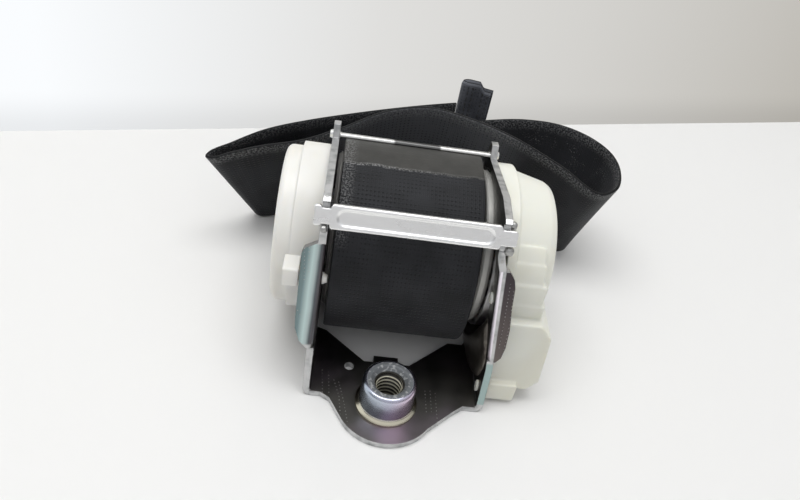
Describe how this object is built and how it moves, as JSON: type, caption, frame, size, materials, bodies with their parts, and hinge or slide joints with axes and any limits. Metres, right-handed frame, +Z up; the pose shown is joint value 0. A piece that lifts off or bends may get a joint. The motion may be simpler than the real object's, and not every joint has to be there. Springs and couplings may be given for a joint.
{
  "type": "seat belt retractor",
  "caption": "Emergency locking seat belt retractor: stamped U frame with threaded anchor bush, wound spool between ivory plastic covers, free belt standing in two loops behind.",
  "frame": {"origin": "axis of the threaded anchor bush, at the underside of the base plate", "axes": "+X along the spool axis towards the locking mechanism, +Y from the anchor tongue to the back where the belt leaves, +Z up, out of the bush's mouth"},
  "size_m": [0.1653, 0.1522, 0.0732],
  "materials": {
    "zinc_steel": "zinc plated and passivated, faint rainbow tint, bare silvery cut edges",
    "bright_zinc": "bright zinc plating, lightly rubbed",
    "bush_zinc": "bright zinc with blue and violet tint, yellowish collar",
    "nylon": "unfilled ivory nylon, slightly translucent, moulded texture",
    "cast_alloy": "die cast, dull",
    "spring_steel": "blued strip",
    "turned_steel": "turned",
    "lock_plastic": "black acetal",
    "belt_web": "polyester webbing, fine ribbed weave, light sheen"
  },
  "bodies": {
    "frame": {"frame": "zinc_steel", "anchor_bush": "bush_zinc", "tie_bar": "bright_zinc", "guide_bar": "bright_zinc", "bearing_bush": "lock_plastic", "spring_cup": "nylon", "spring_cover": "nylon", "power_spring": "spring_steel", "ratchet_ring": "turned_steel", "gear_case": "nylon", "mechanism_cover": "nylon", "sensor_housing": "lock_plastic", "webbing_free": "belt_web", "webbing_end": "belt_web"},
    "spool": {"spool": "cast_alloy", "web_pin": "turned_steel", "torsion_bar": "turned_steel", "lock_base": "cast_alloy", "webbing_roll": "belt_web", "spring_arbor": "lock_plastic"},
    "lock_dog": {"lock_dog": "turned_steel"},
    "lock_gear": {"lock_gear": "lock_plastic"},
    "sensor_lever": {"sensor_lever": "lock_plastic"},
    "sensor_ball": {"sensor_ball": "turned_steel"}
  },
  "joints": [
    {"name": "spool_turn", "type": "hinge", "parent": "frame", "child": "spool", "pos_m": [0, 0.0456, 0.0382], "axis": [1, 0, 0], "continuous": true},
    {"name": "gear_lag", "type": "hinge", "parent": "spool", "child": "lock_gear", "pos_m": [0.034, 0.0456, 0.0382], "axis": [1, 0, 0], "range_deg": [0, 10], "stiffness_Nm_per_rad": 0.02},
    {"name": "dog_swing", "type": "hinge", "parent": "spool", "child": "lock_dog", "pos_m": [0.03, 0.0529, 0.02556], "axis": [1, 0, 0], "range_deg": [0, 10]},
    {"name": "sensor_lift", "type": "hinge", "parent": "frame", "child": "sensor_lever", "pos_m": [0.041, 0.0154, 0.021], "axis": [1, 0, 0], "range_deg": [0, 7]},
    {"name": "ball_shift", "type": "slide", "parent": "frame", "child": "sensor_ball", "axis": [0, 0.866, 0.5], "range_m": [0, 0.0012]}
  ],
  "couplings": [
    {"joint": "dog_swing", "follows": "gear_lag", "ratio": 1},
    {"joint": "sensor_lift", "follows": "ball_shift", "rad_per_m": 101.81}
  ]
}
